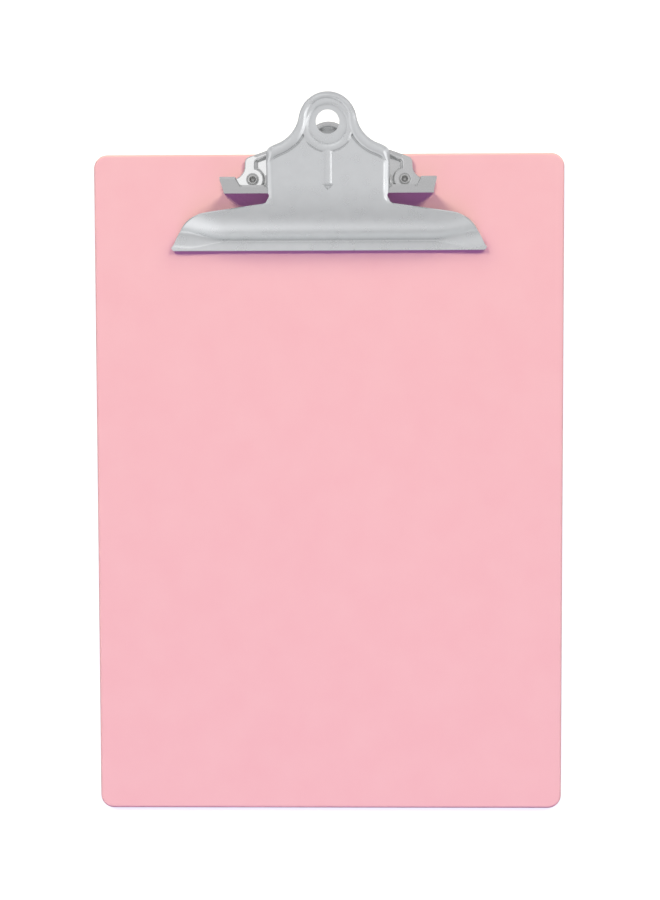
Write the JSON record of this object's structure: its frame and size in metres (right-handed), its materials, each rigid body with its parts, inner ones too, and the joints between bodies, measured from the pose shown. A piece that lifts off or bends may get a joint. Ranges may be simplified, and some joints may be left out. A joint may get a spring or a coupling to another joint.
{
  "type": "clipboard",
  "caption": "Letter-size plastic clipboard with a wide sprung steel clip: lever jaw with a hanging ring, base plate with paper-stop posts, pivot pin, torsion springs and tubular rivets.",
  "frame": {"origin": "centre of the board's flat back face", "axes": "+X across the board, +Y along the board towards the clip, +Z out of the writing face"},
  "size_m": [0.2286, 0.3432, 0.0408],
  "materials": {
    "board_plastic": "satin, very fine moulded grain",
    "clip_steel": "satin nickel plate",
    "pin_steel": "bright nickel plate",
    "spring_wire": "drawn spring wire",
    "rivet_steel": "bright nickel plate"
  },
  "bodies": {
    "base": {"board": "board_plastic", "base_plate": "clip_steel", "pivot_pin": "pin_steel", "spring_left": "spring_wire", "spring_right": "spring_wire", "rivet_left": "rivet_steel", "rivet_right": "rivet_steel"},
    "lever": {"clip_lever": "clip_steel"}
  },
  "joints": [
    {"name": "jaw_hinge", "type": "hinge", "parent": "base", "child": "lever", "pos_m": [0, 0.1455, 0.018], "axis": [-1, 0, 0], "range_deg": [0, 48], "stiffness_Nm_per_rad": 0.5, "springref_deg": -51.57, "deforming": ["spring_left", "spring_right"]}
  ]
}
